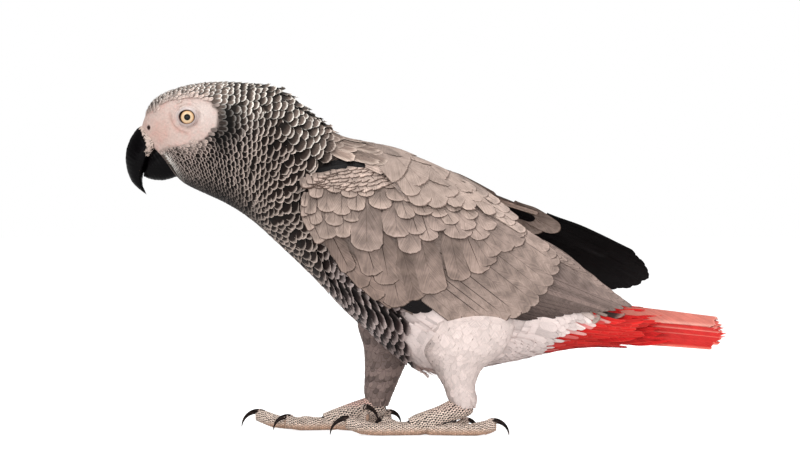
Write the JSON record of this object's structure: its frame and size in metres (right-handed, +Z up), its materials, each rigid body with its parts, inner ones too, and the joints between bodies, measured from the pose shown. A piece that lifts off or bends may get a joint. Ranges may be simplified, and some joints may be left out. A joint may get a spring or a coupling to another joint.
{
  "type": "grey parrot",
  "caption": "Life-size figure of a grey parrot walking, with folded wings, a hooked black bill and a short red tail.",
  "frame": {"origin": "on the floor, under the middle of the bird's bounding box", "axes": "the bird faces -X with its left side towards -Y, +Z is up"},
  "size_m": [0.3332, 0.0972, 0.1966],
  "materials": {
    "head_plumage": "grey feathers with dark centres and pale rims",
    "body_plumage": "grey feathers, darker on the breast",
    "wing_plumage": "smooth ash-grey wing feathers with dark seams",
    "flight_feathers": "black flight feathers with a dull sheen",
    "tail_plumage": "bright red tail feathers",
    "leg_plumage": "short soft whitish feathers",
    "foot_skin": "scaly grey-pink skin with dark spots",
    "horn": "black horn of the bill and claws",
    "eye": "pale yellow iris with a black pupil, wet and glossy"
  },
  "bodies": {
    "root": {"upper_bill": "horn", "lower_bill": "horn", "head": "head_plumage", "neck": "head_plumage", "trunk": "body_plumage", "eye_left": "eye", "wing_left": "wing_plumage", "primaries_left": "flight_feathers", "eye_right": "eye", "wing_right": "wing_plumage", "primaries_right": "flight_feathers", "tail": "tail_plumage", "thigh_left": "leg_plumage", "tarsus_left": "foot_skin", "toe_left_1": "foot_skin", "claw_left_1": "horn", "toe_left_2": "foot_skin", "claw_left_2": "horn", "toe_left_3": "foot_skin", "claw_left_3": "horn", "toe_left_4": "foot_skin", "claw_left_4": "horn", "thigh_right": "leg_plumage", "tarsus_right": "foot_skin", "toe_right_1": "foot_skin", "claw_right_1": "horn", "toe_right_2": "foot_skin", "claw_right_2": "horn", "toe_right_3": "foot_skin", "claw_right_3": "horn", "toe_right_4": "foot_skin", "claw_right_4": "horn"}
  },
  "joints": []
}
